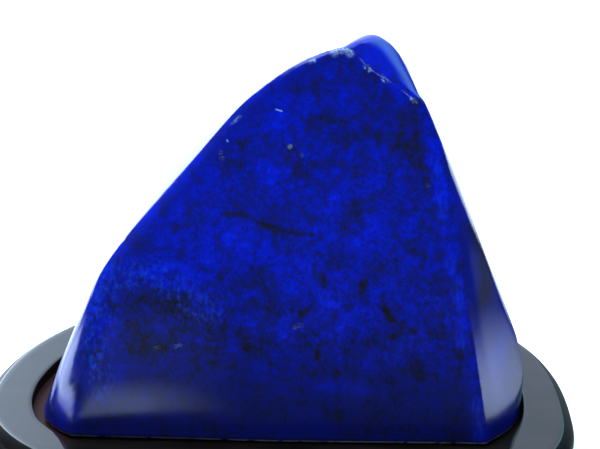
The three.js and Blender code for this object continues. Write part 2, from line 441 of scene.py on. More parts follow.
# %% Outlines of the stand
STAND_HALF_WIDTH = (stand_high.x - stand_low.x) / 2
STAND_FRONT = -stand_low.y
STAND_BACK = stand_high.y
STAND_HEIGHT = stand_high.z
WIDEST_LINE_Y = -13.0
EGG_POWER_LEFT = 2.0
EGG_POWER_RIGHT = 2.45
RECESS_DEPTH = 4.0
RECESS_LEAST_RADIUS = 30.0
SNUG_FIT = 1.5                       # how far the wall is drawn in at the right end
SNUG_ANGLE, SNUG_SPREAD = 0.02, 0.24     # radians


def egg_point(angle, inset):
    """A point of the egg outline in millimetres, moved inwards by an inset."""
    across, away = math.cos(angle), math.sin(angle)
    power = 2 / (EGG_POWER_RIGHT if across > 0 else EGG_POWER_LEFT)
    depth = STAND_BACK - WIDEST_LINE_Y if away > 0 else STAND_FRONT + WIDEST_LINE_Y
    x = (STAND_HALF_WIDTH - inset) * math.copysign(abs(across) ** power, across)
    y = (depth - inset) * math.copysign(abs(away) ** power, away)
    return Vector((x, y + WIDEST_LINE_Y))


def recess_corners():
    """The recess floor's edge points in the construction model, sorted by angle."""
    floor_height = (STAND_HEIGHT - RECESS_DEPTH) * MM
    found = {}
    for vertex in stand_node.data.vertices:
        x, y, z = vertex.co
        on_floor = abs(z - floor_height) < 0.01 * MM
        if on_floor and math.hypot(x, y) > RECESS_LEAST_RADIUS * MM:
            found[round(math.atan2(y, x), 4)] = math.hypot(x, y) / MM
    return sorted(found.items())


RECESS_EDGE = recess_corners()
print("recess edge read from", len(RECESS_EDGE), "points")


def recess_radius(angle):
    """Distance from the middle to the recess wall, on a smooth curve through the read points."""
    angle = math.atan2(math.sin(angle), math.cos(angle))
    after = next((place for place, (turn, _) in enumerate(RECESS_EDGE) if turn > angle), 0)
    picks = [RECESS_EDGE[(after + step) % len(RECESS_EDGE)] for step in (-2, -1, 0, 1)]
    (_, r0), (a1, r1), (a2, r2), (_, r3) = picks
    t = ((angle - a1) % math.tau) / ((a2 - a1) % math.tau)
    return r1 + 0.5 * t * (r2 - r0 + t * (2 * r0 - 5 * r1 + 4 * r2 - r3 + t * (3 * (r1 - r2) + r3 - r0)))


def recess_point(angle, outset):
    """A point of the recess outline in millimetres, moved outwards by an outset."""
    snug = SNUG_FIT * math.exp(-((angle - SNUG_ANGLE) / SNUG_SPREAD) ** 2)
    radius = recess_radius(angle) + outset - snug
    return Vector((radius * math.cos(angle), radius * math.sin(angle)))


# %% [markdown]
# ## The stand: body
#
# A turner would cut the foot, the cove and the round nose on the edge of the plate, and a
# carver would then sink the recess. In Blender a profile could be spun, but spin only makes
# round things. Here one loop of edges starts as a circle under the foot and is extruded
# ring by ring up the outside, over the rim and down into the recess. Every new ring is
# laid on the egg or on the recess outline, so the flow of faces stays clean.

# %% Profile of the stand
FOOT_HEIGHT = 7.0
FOOT_INSET = 2.2
FOOT_ARRIS = 1.0
FOOT_TOP_ARRIS = 0.5
COVE_RADIUS = 3.0
COVE_INSET = 3.2
NOSE_DEPTH = 3.8
NOSE_FALL = 2.2
RIM_ARRIS = 0.3
LIP_ROUND = 0.55
WALL_RINGS = (1.4, 2.4)        # depths of the rings on the recess wall, below the rim
FLOOR_FILLET = 0.9
QUARTER = math.pi / 2


def arc(centre, radius, start, end, steps):
    """(distance outwards, height) points on part of a circle, ends included."""
    points = []
    for step in range(steps + 1):
        turn = start + (end - start) * step / steps
        points.append((centre[0] + radius * math.cos(turn), centre[1] + radius * math.sin(turn)))
    return points


def bend(start, corner, end, steps):
    """Points of a curve that leaves the start towards the corner and bends to the end."""
    start, corner, end = (Vector(point) for point in (start, corner, end))
    points = []
    for step in range(steps + 1):
        t = step / steps
        points.append(tuple(start.lerp(corner, t).lerp(corner.lerp(end, t), t)))
    return points


def outside_profile():
    """(inset from the widest line, height) from the underside up to the flat rim."""
    plate_underside = FOOT_HEIGHT + 2 * COVE_RADIUS
    widest = (0.0, (plate_underside + STAND_HEIGHT) / 2)
    rim_edge = (-NOSE_DEPTH, STAND_HEIGHT)
    foot = arc((-FOOT_INSET - FOOT_ARRIS, FOOT_ARRIS), FOOT_ARRIS, -QUARTER, 0, 5)
    foot_top_centre = (-FOOT_INSET - FOOT_TOP_ARRIS, FOOT_HEIGHT - FOOT_TOP_ARRIS)
    foot_top = arc(foot_top_centre, FOOT_TOP_ARRIS, 0, QUARTER, 4)
    cove = arc((-COVE_INSET, FOOT_HEIGHT + COVE_RADIUS), COVE_RADIUS, -QUARTER, -3 * QUARTER, 14)
    nose_under = bend((-NOSE_DEPTH, plate_underside), (0.0, plate_underside + NOSE_FALL), widest, 10)
    nose_over = bend(widest, (0.0, STAND_HEIGHT - NOSE_FALL), rim_edge, 14)[1:-1]
    arris = bend(nose_over[-1], rim_edge, (-NOSE_DEPTH - RIM_ARRIS, STAND_HEIGHT), 3)[1:]
    return [(-out, up) for out, up in foot + foot_top + cove + nose_under + nose_over + arris]


def recess_profile():
    """(outset from the wall, height) from the flat rim down to the recess floor."""
    floor_height = STAND_HEIGHT - RECESS_DEPTH
    lip = arc((LIP_ROUND, STAND_HEIGHT - LIP_ROUND), LIP_ROUND, QUARTER, 2 * QUARTER, 4)
    recess_wall = [(0.0, STAND_HEIGHT - depth) for depth in WALL_RINGS]
    fillet = arc((-FLOOR_FILLET, floor_height + FLOOR_FILLET), FLOOR_FILLET, 0, -QUARTER, 4)
    return lip + recess_wall + fillet


outside = outside_profile()
inside = recess_profile()
print("profile rings:", len(outside), "outside,", len(inside), "in the recess")

# %% Extrude the rings
RING_STEPS = 288
RIM_RINGS = (0.12, 0.5, 0.9)                 # shares of the way from the rim's edge to the recess
FLOOR_RINGS = (0.92, 0.78, 0.6, 0.4, 0.2)    # shares of the way from the middle to the wall
KNIFE_WANDER = 0.35                          # how far the freehand wall strays from its line
KNIFE_TURNS, KNIFE_FALL = 9, 0.15            # how fast it strays around the wall and down it


def knife_wander(angle, height):
    """The carver's knife does not follow its line exactly."""
    where = Vector((math.cos(angle) * KNIFE_TURNS, math.sin(angle) * KNIFE_TURNS, height * KNIFE_FALL))
    return KNIFE_WANDER * noise.noise(where)


def lay_ring(shape, edges, angle_of, place):
    """Extrudes a loop of edges and lays each new corner where place(angle) says."""
    grown = bmesh.ops.extrude_edge_only(shape, edges=edges)["geom"]
    for corner in grown:
        if isinstance(corner, bmesh.types.BMVert):
            x, y, z = place(corner[angle_of])
            corner.co = mm_point(x, y, z)
    return [edge for edge in grown if isinstance(edge, bmesh.types.BMEdge)]


def egg_ring(inset, height):
    """A ring on the outside of the stand."""
    return lambda angle: (*egg_point(angle, inset), height)


def rim_ring(share):
    """A ring on the flat rim, part of the way from its edge to the lip of the recess."""

    def place(angle):
        edge, lip = egg_point(angle, outside[-1][0]), recess_point(angle, LIP_ROUND)
        return (*edge.lerp(lip, share), STAND_HEIGHT)
    return place


def recess_ring(outset, height):
    """A ring on the recess wall, true at the rim and wandering below it."""
    wandering_share = min(1.0, (STAND_HEIGHT - height) / LIP_ROUND)

    def place(angle):
        stray = knife_wander(angle, height) * wandering_share
        return (*recess_point(angle, outset + stray), height)
    return place


def floor_ring(share):
    """A ring on the recess floor, part of the way from the middle to the wall."""
    floor_height = STAND_HEIGHT - RECESS_DEPTH
    return lambda angle: (*(recess_point(angle, -FLOOR_FILLET) * share), floor_height)


def carve_stand():
    """The stand as one closed mesh."""
    shape = bmesh.new()
    angle_of = shape.verts.layers.float.new("angle")
    start = bmesh.ops.create_circle(shape, cap_ends=True, segments=RING_STEPS, radius=1.0)
    for corner in start["verts"]:
        angle = math.atan2(corner.co.y, corner.co.x)
        corner[angle_of] = angle
        corner.co = mm_point(*egg_point(angle, outside[0][0]), 0)
    edges = [edge for edge in shape.edges if edge.is_boundary]
    rings = [egg_ring(inset, height) for inset, height in outside[1:]]
    rings += [rim_ring(share) for share in RIM_RINGS]
    rings += [recess_ring(outset, height) for outset, height in inside]
    rings += [floor_ring(share) for share in FLOOR_RINGS]
    for ring in rings:
        edges = lay_ring(shape, edges, angle_of, ring)
    bmesh.ops.holes_fill(shape, edges=edges, sides=0)
    shape.verts.layers.float.remove(angle_of)
    bmesh.ops.recalc_face_normals(shape, faces=shape.faces)
    for face in shape.faces:
        face.smooth = True
    return shape


def object_from(shape, name):
    """Turns a bmesh into an object that sits at the origin."""
    mesh = bpy.data.meshes.new(name)
    shape.to_mesh(mesh)
    shape.free()
    made = bpy.data.objects.new(name, mesh)
    bpy.context.scene.collection.objects.link(made)
    return made


stand = object_from(carve_stand(), "carved_stand")
print("stand:", len(stand.data.polygons), "faces")

# %% [markdown]
# ## The stone: surface
#
# The construction model has the facets of the stone with their rounded edges, in long thin
# triangles that can't be smoothed evenly. Subdividing them would keep their odd lengths. A
# voxel remesh of a copy gives an even skin of small quads instead, fine enough to keep every
# edge. Places on the stone are then measured along its broad face, as a cutter would mark
# them: across it, up it and behind it.

# %% Remesh the stone
SKIN_QUAD = 0.78
SAME_CORNER = 0.002                  # corners closer than this are one
FACE_LEAN = math.radians(10)
STONE_SHIFT = Vector((2.0, -29.0, stone_low.z))      # middle of the broad face's foot


def face_spot(across, along, behind=0.0):
    """A point on the broad face in millimetres, or a little behind it."""
    up = Vector((0.0, math.sin(FACE_LEAN), math.cos(FACE_LEAN)))
    into = Vector((0.0, math.cos(FACE_LEAN), -math.sin(FACE_LEAN)))
    spot = STONE_SHIFT + Vector((across, 0.0, 0.0)) + up * along + into * behind
    return mm_point(*spot)


def on_face(points):
    """Turns points in metres into rows of across, along and behind the face, in millimetres."""
    x, y, z = (np.asarray(points) / MM - np.array(STONE_SHIFT)).T
    rise, run = math.cos(FACE_LEAN), math.sin(FACE_LEAN)
    return np.column_stack((x, y * run + z * rise, y * rise - z * run))


def merged_copy(node, name):
    """A copy of a construction node with its loose triangles joined."""
    shape = bmesh.new()
    shape.from_mesh(node.data)
    bmesh.ops.remove_doubles(shape, verts=shape.verts, dist=SAME_CORNER * MM)
    return object_from(shape, name)


def even_skin(piece, quad):
    """Replaces a piece's mesh by an even skin of quads."""
    remesh = piece.modifiers.new("skin", "REMESH")
    remesh.mode = "VOXEL"
    remesh.voxel_size = quad * MM
    remesh.use_smooth_shade = True
    bpy.context.view_layer.update()
    view = bpy.context.evaluated_depsgraph_get()
    skin = bpy.data.meshes.new_from_object(piece.evaluated_get(view))
    piece.modifiers.clear()
    piece.data = skin


stone = merged_copy(stone_node, "polished_lapis")
even_skin(stone, SKIN_QUAD)
print("stone:", len(stone.data.polygons), "quads")

# %% [markdown]
# ## The stone: flowing edges
#
# A lapidary's wheel leaves no hard corner. The foot is the crispest, the edges behind the
# broad face are softer, and the left corner is the softest of all. A Bevel modifier would
# round every edge alike. Rounds of smoothing on chosen corners of the skin round each region
# by its own amount. The foot then comes forward a little, as the broad face isn't quite flat.

# %% Smooth the edges
FOOT_ROUNDS, BODY_ROUNDS = 1, 4
CRISP_FOOT = 2.0                 # height of the foot's edge that is only lightly smoothed
SOFTER_BEHIND = (3.0, 8.0)       # depths behind the broad face that get more rounds
SOFTER_ROUNDS = 5
CREST_ABOVE = 118.0              # the crest keeps its height
LEFT_CORNER = (-48.0, 75.0)      # left of this and below this the corner is rounder still
LEFT_ROUNDS = 18
FOOT_FORWARD = (2.0, 0.4)        # how far the foot comes forward, at the left and at the right
FORWARD_TURN = 60.0              # how far right of the middle it comes forward the least


def smooth(shape, corners, rounds):
    """Moves corners towards their neighbours, a number of times."""
    for _ in range(rounds):
        bmesh.ops.smooth_vert(
            shape, verts=corners, factor=0.5, use_axis_x=True, use_axis_y=True, use_axis_z=True
        )


def soften_edges(shape):
    """Rounds the foot a little, the body more, and its back and its left corner the most."""
    depths = on_face([corner.co for corner in shape.verts])[:, 2]
    heights = [corner.co.z / MM - stone_low.z for corner in shape.verts]
    measured = list(zip(shape.verts, heights, depths))
    smooth(shape, shape.verts, FOOT_ROUNDS)
    above_foot = [corner for corner, height, _ in measured if height > CRISP_FOOT]
    smooth(shape, above_foot, BODY_ROUNDS - FOOT_ROUNDS)
    for limit in SOFTER_BEHIND:
        behind = [
            corner for corner, height, depth in measured
            if depth > limit and CRISP_FOOT < height < CREST_ABOVE
        ]
        smooth(shape, behind, SOFTER_ROUNDS)
    left, top = LEFT_CORNER
    at_left = [
        corner for corner, height, _ in measured
        if corner.co.x / MM < left and CRISP_FOOT < height < top
    ]
    smooth(shape, at_left, LEFT_ROUNDS)


def forward_at(place):
    """How far a spot of the stone comes forward with the foot, in metres."""
    at_left, at_right = FOOT_FORWARD
    height = (place.z / MM - stone_low.z) / (stone_high.z - stone_low.z)
    toward_right = min(1.0, max(0.0, place.x / MM / FORWARD_TURN))
    forward = at_left + (at_right - at_left) * toward_right
    return forward * MM * max(0.0, 1 - height)


def lean_forward(shape):
    """Brings the foot forward, more at its left end, and leaves the top where it is."""
    for corner in shape.verts:
        corner.co.y -= forward_at(corner.co)


stone_shape = bmesh.new()
stone_shape.from_mesh(stone.data)
soften_edges(stone_shape)
lean_forward(stone_shape)
print("smoothed", len(stone_shape.verts), "corners")

# %% [markdown]
# ## The stone: crest and flats
#
# Behind the ridge at the top lies a small facet that was polished freehand, so it is domed
# across and not flat, and the big flats have a slow, shallow waviness that only shows in
# what they mirror. Sculpting by hand could do both, but would not repeat. Moving each corner
# by a short formula does.

# %% Crown the crest and ripple the flats
RIDGE = ((15.3, 124.4), (37.6, 108.8))       # ends of the ridge, across and up the broad face
FACET_FACES = Vector((0.41, -0.57, 0.71)).normalized()
FACET_LIKENESS = 0.97                        # least cosine between a corner's normal and the facet's
FACET_ABOVE = 118.0
FACET_ROUNDS = 16                            # evens out the facet before it is crowned
CROWN_SLOPE = 0.16                           # the facet climbs from the ridge at this slope
CROWN_WIDTHS = (13.5, -0.37, 4.0)            # its width at the left, change per millimetre, least
CROWN_DEPTHS = (3.0, 10.0)                   # full down to the first, none below the second
CROWN_STARTS = (-8.0, -2.0)                  # the same along the ridge, left of its start
RIPPLE_DEPTH = 0.16
RIPPLE_LENGTH = 34.0

ridge_start, ridge_end = [face_spot(*point) / MM for point in RIDGE]
along_ridge = (ridge_end - ridge_start).normalized()
across_facet = FACET_FACES.cross(along_ridge)


def share_of(value, none, full):
    """0 at one value, 1 at another, straight between them and level outside them."""
    return min(1.0, max(0.0, (value - none) / (full - none)))


def crown(corner):
    """How far a corner of the crest's facet swells or falls off, across from the ridge."""
    offset = corner.co / MM - ridge_start
    across = offset.dot(across_facet)
    if across <= 0:
        return 0.0
    run, depth = offset.dot(along_ridge), -offset.dot(FACET_FACES)
    widest, change, least = CROWN_WIDTHS
    width = max(least, widest + change * run)
    swell = across * (1 - across / width) if across < width else width - across
    full, none = CROWN_DEPTHS
    return CROWN_SLOPE * swell * share_of(depth, none, full) * share_of(run, *CROWN_STARTS)


def even_facet(shape):
    """Smooths the crest's facet alone."""
    shape.normal_update()
    facet = [
        corner for corner in shape.verts
        if corner.normal.dot(FACET_FACES) > FACET_LIKENESS and corner.co.z > FACET_ABOVE * MM
    ]
    smooth(shape, facet, FACET_ROUNDS)


def crown_and_ripple(shape):
    """Swells the crest's facet and sinks every corner by a slow noise."""
    shape.normal_update()
    moves = []
    for corner in shape.verts:
        ripple = noise.noise(corner.co / (RIPPLE_LENGTH * MM)) * 0.5 + 0.5
        moves.append(FACET_FACES * (crown(corner) * MM) - corner.normal * (ripple * RIPPLE_DEPTH * MM))
    for corner, move in zip(shape.verts, moves):
        corner.co += move


even_facet(stone_shape)
crown_and_ripple(stone_shape)
for face in stone_shape.faces:
    face.smooth = True
stone_shape.to_mesh(stone.data)
stone_shape.free()
print("stone polished")

# %% [markdown]
# ## The stone: where it is dark and where it is bright
#
# Lapis lazuli is a rock, not one crystal. Fine grains of ultramarine blue are clouded by
# darker minerals, crossed by dark veins and dotted with pale specks. All-over noise would
# make a stone, but each real piece has its own map. So short lists say where this stone is
# darker or brighter and where its veins run. Some of these places are not the stone's own
# colour but painted light and shade, on the side facets, the crest and the foot. These soft
# marks could be nodes in the material, but there are too many of them. They are worked out
# once for each corner of the skin instead, and kept on the mesh as attributes.

# %% Marks on the skin
PLACE_FADE = (1.1, 0.3)          # a place starts and is full at these shares of its half size
FAR_AWAY = 1000.0
# where the three noises that push sideways, upwards and inwards start, the same in each run
PUSH_STARTS = [Vector((0.0, 0.0, 0.0)), Vector((31.4, 47.2, 5.9)), Vector((-20.1, 8.6, 73.3))]

spots = np.empty(3 * len(stone.data.vertices))
stone.data.vertices.foreach_get("co", spots)
spots = spots.reshape(-1, 3)
skin = on_face(spots)


def wandering(lump, furthest):
    """The skin's points pushed about by a noise, so that what is drawn comes out crooked."""
    places = [Vector(spot) / (lump * MM) for spot in spots]
    pushes = [[noise.noise(place + start) for start in PUSH_STARTS] for place in places]
    return skin + furthest * np.array(pushes)


def soft(values, start, end):
    """Runs smoothly from 0 to 1 while the values go from start to end."""
    share = np.clip((values - start) / (end - start), 0.0, 1.0)
    return share * share * (3 - 2 * share)


def place_mask(where, centre, half_size):
    """1 at a centre, falling softly to 0 at the given half sizes."""
    distance = np.linalg.norm((where - centre) / np.array(half_size), axis=1)
    return soft(distance, *PLACE_FADE)


def line_mask(where, lines, half_width, softness):
    """1 along lines drawn on the broad face, falling softly to 0 beside them."""
    nearest = np.full(len(where), FAR_AWAY)
    for line in lines:
        for start, end in zip(line, line[1:]):
            start = np.array((*start, 0.0)[:3])
            way = np.array((*end, 0.0)[:3]) - start
            share = np.clip((where - start) @ way / (way @ way), 0.0, 1.0)
            distance = np.linalg.norm(where - start - share[:, None] * way, axis=1)
            nearest = np.minimum(nearest, distance)
    return soft(nearest, half_width + softness, half_width)


def keep(name, values):
    """Keeps one value for each corner of the skin under a name."""
    layer = stone.data.attributes.new(name, "FLOAT", "POINT")
    layer.data.foreach_set("value", np.ascontiguousarray(values, dtype=np.float32))


print("skin of", len(skin), "corners")

# %% Darker and brighter places
PLACES = [
    # across, along and behind the broad face; half width, height and depth; change
    (-44, 42, 5, 16, 15, 25, -0.24),
    (-28, 42, 5, 16, 12, 25, -0.13),
    (-15, 30, 5, 15, 12, 25, -0.15),
    (-18, 93, 5, 8, 12, 25, -0.07),
    (36, 98, 2, 10, 12, 10, -0.10),
    (27, 110, 2, 7, 6, 8, -0.07),
    (40, 88, 3, 6, 9, 12, -0.10),
    (9, 107, 2, 12, 8, 20, -0.05),
    (14, 72, 3, 7, 6, 20, -0.09),
    (46, 27, 3, 8, 16, 12, -0.12),
    (52, 60, 2, 5, 14, 5, -0.06),
    (-12, 53, 3, 6, 4, 20, -0.08),
    (-12, 62, 5, 20, 10, 25, 0.09),
    (-3, 57, 4, 12, 7, 20, 0.08),
    (21, 80, 3, 8, 7, 20, 0.11),
    (40, 72, 3, 9, 7, 12, 0.10),
    (-4, 95, 4, 10, 7, 20, 0.07),
    (17, 33, 4, 9, 7, 25, 0.05),
    (20, 18, 4, 11, 6, 20, 0.17),
    (8, 47, 4, 16, 6, 20, 0.03),
    # painted light and shade: the crest's top lighter, the right facet darker, and lighter low down
    (29, 116, 12, 18, 18, 12, 0.10),
    (60, 58, 9, 8, 30, 12, -0.24),
    (66, 22, 10, 8, 16, 16, 0.12),
    (68, 7, 8, 10, 9, 12, 0.10),
    # painted light: the low left corner lighter
    (-68, 6, 4, 9, 10, 12, 0.24),
    (-68, 22, 4, 5, 18, 12, 0.10),
    (-42, 64, 4, 10, 7, 20, -0.10),
    (-2, 57, 3, 5, 4, 20, 0.06),
    # painted light: the left corner lighter low down
    (-61, 12, 3, 5, 6, 10, 0.10),
    # painted light: the lowest strip lifted against the shade at the foot
    (0, 0, 3, 90, 4, 40, 0.03),
]
MIDDLE_BLUE = 0.46
# darker towards the foot: partly the stone's own darker tone, partly painted shade where less light reaches
# the foot
FOOT_DARKENS_BELOW = 56
FOOT_TONE_AND_SHADE = -0.18
CLOUD_LUMP, CLOUD_STRAY = 16, 7      # the places are pushed about by lumps so big, at most so far

roaming = wandering(CLOUD_LUMP, CLOUD_STRAY)
tone = MIDDLE_BLUE + FOOT_TONE_AND_SHADE * soft(skin[:, 1], FOOT_DARKENS_BELOW, 0)
for *centre, wide, high, deep, change in PLACES:
    tone += change * place_mask(roaming, centre, (wide, high, deep))
print("placed", len(PLACES), "tones")

# %% [markdown]
# ## The stone: veins, streaks and painted light along its edges
#
# Thin dark veins cross the broad face, and beside its right edge lie paler streaks. Along
# the right edge the blue is also painted lighter, a painted highlight on its rounding, and
# along the left edge a little darker, painted shade. A mask painted by hand could hold
# them. Short lines in the face's own measures say the same in a few numbers, and a noise
# makes them crooked.

# %% Veins, blots and edges
VEINS = [
    [(-31.6, 59.8), (-29.7, 57.8), (-26.7, 56.6), (-23.6, 55.4), (-19.9, 53.2)],
    [(22.4, 54.1), (23.8, 48.6), (26.4, 46.1), (30.4, 44.6), (32.7, 41.4)],
    [(7.3, 45.3), (1.9, 38.6), (3.3, 32.4), (4.3, 30.1)],
    [(8.8, 37.1), (15.2, 40.3), (19.8, 38.8)],
    [(10.7, 55.4), (10.8, 51.2)],
]
BLOTS = [
    [(-32.6, 59.9), (-30.8, 59.7)], [(30.2, 44.4), (32.9, 41.2)],
    [(36.2, 40.2), (36.4, 39.4)], [(38.2, 38.0), (39.8, 38.0)], [(32.2, 36.2), (34.2, 36.2)],
    [(3.3, 33.4), (4.1, 30.5)], [(10.2, 30.0), (10.4, 28.4)], [(8.2, 37.2), (9.6, 36.6)],
]
LEFT_EDGE = [[
    (11, 124.5), (2.3, 120), (-6.4, 115), (-13.7, 107.8),
    (-22.5, 97.5), (-33, 84.2), (-51.1, 61), (-57.3, 50.3),
]]
RIGHT_EDGE = [[(41.4, 107.8), (43.9, 92.5), (48.1, 73.9), (53.3, 48.5), (59, 22.4), (62.6, 2.3)]]
FLECKED = [
    [(-51.2, 53.7), (-57.0, 47.0), (-59.2, 35.6), (-58.5, 25.7), (-57, 16)],
    [(-50.4, 53.4), (-39.8, 54.9), (-33.7, 50.0), (-28.4, 44.3), (-23.5, 42.8)],
]
STREAKED = [
    [(44.2, 92), (44.6, 87)], [(46.1, 81.5), (46.6, 75.5)], [(50, 61), (50.2, 58)], [(52.6, 53), (53, 48)],
    [(54.2, 38), (54.6, 34)], [(60.1, 15), (60.3, 12)], [(60.8, 8.5), (61.4, 4)],
]

VEIN_LUMP, VEIN_STRAY = 6, 1.0

crooked = wandering(VEIN_LUMP, VEIN_STRAY)
LINE_TONES = [
    # lines, points they are drawn on, half width, softness, change
    (VEINS, crooked, 0.1, 1.7, -0.20),
    (BLOTS, crooked, 0.4, 1.3, -0.22),
    # painted shade along the left edge and a painted highlight along the right edge, where their roundings
    # meet the light
    (LEFT_EDGE, skin, 1.0, 4.0, -0.03),
    (RIGHT_EDGE, skin, 0.8, 3.2, 0.13),
]
for lines, where, half_width, softness, change in LINE_TONES:
    tone += change * line_mask(where, lines, half_width, softness)
keep("tone", tone)
keep("flecked", line_mask(crooked, FLECKED, 1.5, 6.0))
keep("streaked", line_mask(crooked, STREAKED, 0.3, 2.6))
print("drew", len(VEINS), "veins and", len(BLOTS), "blots")

# %% Calm places
GRAIN_LOST = 0.6           # how much of the grain a fully calm place loses

across, along, behind = skin.T
side_facets = soft(behind, 0.8, 3.0) * soft(behind, 24, 12)
calm_places = [
    side_facets,
    soft(across, -60, -64),
    0.9 * soft(along, 34, 14),
    0.8 * line_mask(skin, LEFT_EDGE, 2.5, 5.0),
    1.4 * side_facets * soft(across, 50, 56),
]
calm = np.max(calm_places, axis=0)
keep("calm", 1 - GRAIN_LOST * calm)
print("calm share of the skin", round(float(calm.mean()), 2))

# %% [markdown]
# ## The stone: grain and pale marks
#
# The material reads the soft marks from the skin and adds what is finer than its quads: the
# grain, in noise of several sizes, and the thin pale scratches, chips and specks. A picture
# could be painted instead, but nodes stay sharp at any distance.

# %% Grain of the stone
BLUES = [
    (0.00, (0.0075, 0.0075, 0.012)),
    (0.20, (0.0065, 0.0085, 0.050)),
    (0.40, (0.0035, 0.0080, 0.180)),
    (0.60, (0.0015, 0.0090, 0.400)),
    (0.80, (0.0010, 0.0140, 0.680)),
    (1.00, (0.0060, 0.0600, 0.920)),
]
GRAIN = [
    # lumps per metre, detail, roughness, distortion, weight
    (38.0, 3.0, 0.50, 0.3, 0.45),
    (150.0, 5.0, 0.62, 0.5, 0.80),
    (520.0, 4.0, 0.70, 0.0, 0.75),
    (1300.0, 2.0, 0.60, 0.0, 0.35),
]
UPRIGHT = (1.3, 1.0, 0.6)
DARK_GRAIN = (260.0, 3.0, 0.55, 0.4)         # the same, without a weight
DARK_GRAIN_SHOWS = (0.54, 0.70)
DARK_GRAIN_WEIGHT = 0.16

lapis, lapis_tree = new_material("polished_lapis")
lapis_place = add_node(lapis_tree, "ShaderNodeTexCoord").outputs["Object"]


def kept(name):
    """A value kept on the skin."""
    return add_node(lapis_tree, "ShaderNodeAttribute", attribute_name=name).outputs["Fac"]


grain = 0.0
for *look, weight in GRAIN:
    layer = maths(lapis_tree, "SUBTRACT", cloud(lapis_tree, lapis_place, *look), 0.5)
    grain = maths(lapis_tree, "ADD", times(lapis_tree, layer, weight), grain)
upright = vector_maths(lapis_tree, "MULTIPLY", lapis_place, UPRIGHT)["Vector"]
dark_grains = cloud(lapis_tree, upright, *DARK_GRAIN)
dark_grains = between(lapis_tree, dark_grains, *DARK_GRAIN_SHOWS, 0.0, DARK_GRAIN_WEIGHT)
grain = maths(lapis_tree, "SUBTRACT", grain, dark_grains)
blue = maths(lapis_tree, "ADD", kept("tone"), times(lapis_tree, grain, kept("calm")))
print("grain of", len(GRAIN) + 1, "sizes")

# %% Where the thin marks lie
CORNER_CHIP = [
    [(12.4, 124.2), (15.8, 125.7)], [(15.8, 125.7), (17.2, 124.1)],
]
CHIPS = [
    [(5.2, 121.1), (6.5, 121.6)], [(21.9, 119.9), (22.9, 119.2)], [(27.2, 116.6), (27.9, 116.0)],
    [(35.6, 110.9), (36.6, 110.2)], [(-18.6, 101.7), (-15.4, 103.8)],
]
SCRATCHES = [
    [(15.4, 126.2), (11.1, 123.9), (5.8, 121.4), (2.3, 120)],
    [(17.9, 124.6), (22.5, 119.9), (24.6, 118.5), (31.3, 114.5), (36.2, 110.7), (37.6, 109.5)],
    [(-4.4, 106.6), (-2.7, 106.1)],
    [(-18.9, 96.9), (-18.7, 96.5)],
    [(-41.8, 68.1), (-41.6, 67.9)],
]
GREY_GRAIN = [[(-0.1, 95.3), (0.1, 95.5)]]
CRACKS = [
    [(-20, 74), (-14.5, 74), (-11.7, 73.2), (-8.6, 71.4), (-4.9, 70.2), (-0.3, 69.4), (3.6, 68.3), (7, 68.3)],
    [(-4.2, 70.2), (-3.8, 67.5), (-3.9, 64.6)],
]
GREY_SPOTS = [
    [(-20.8, 93.1), (-20.2, 91.1)], [(3.5, 93.1), (3.7, 92.9)],
    [(-40.2, 30.6), (-39.0, 30.9)], [(-34.0, 31.5), (-32.4, 32.1)], [(41.7, 84.5), (41.9, 84.3)],
    [(2.8, 38.6), (4.8, 39.4)],
]
print(len(CHIPS) + len(CORNER_CHIP), "chips,", len(SCRATCHES), "scratches,", len(GREY_SPOTS), "grey spots")

# %% Draw the thin marks
FLECK_BLUE = (0.006, 0.048, 0.620, 1.0)
STREAK_BLUE = (0.003, 0.030, 0.700, 1.0)
ICE_BLUE = (0.440, 0.600, 0.900, 1.0)
STONE_GREY = (0.110, 0.140, 0.170, 1.0)
FLECK_DETAIL, FLECK_ROUGHNESS = 4.0, 0.65


def line_distance(start, end):
    """Distance from each point to a straight line between two points, in metres."""
    way = end - start
    offset = vector_maths(lapis_tree, "SUBTRACT", lapis_place, start)["Vector"]
    share = vector_maths(lapis_tree, "DOT_PRODUCT", offset, way / way.length_squared)["Value"]
    share = maths(lapis_tree, "MAXIMUM", maths(lapis_tree, "MINIMUM", share, 1.0), 0.0)
    nearest = add_node(lapis_tree, "ShaderNodeVectorMath", {0: way, "Scale": share}, operation="SCALE")
    return vector_maths(lapis_tree, "DISTANCE", offset, nearest.outputs["Vector"])["Value"]


def fine_line(lines, half_width, softness):
    """1 along lines drawn on the broad face in millimetres, falling softly to 0 beside them."""
    nearest = 1.0
    for line in lines:
        ends = [face_spot(*point) for point in line]
        for end in ends:
            end.y -= forward_at(end)
        for start, end in zip(ends, ends[1:]):
            nearest = maths(lapis_tree, "MINIMUM", line_distance(start, end), nearest)
    return between(lapis_tree, nearest, half_width * MM, (half_width + softness) * MM, 1.0, 0.0)


def broken(mask, lumps, start, end, strength, stretch=(1.0, 1.0, 1.0)):
    """A mask broken up into flecks by a noise."""
    where = vector_maths(lapis_tree, "MULTIPLY", lapis_place, stretch)["Vector"]
    flecks = cloud(lapis_tree, where, lumps, FLECK_DETAIL, FLECK_ROUGHNESS)
    return times(lapis_tree, mask, between(lapis_tree, flecks, start, end, 0.0, strength))


def greatest(*masks):
    """The greatest of several masks at each point."""
    most = masks[0]
    for mask in masks[1:]:
        most = maths(lapis_tree, "MAXIMUM", most, mask)
    return most


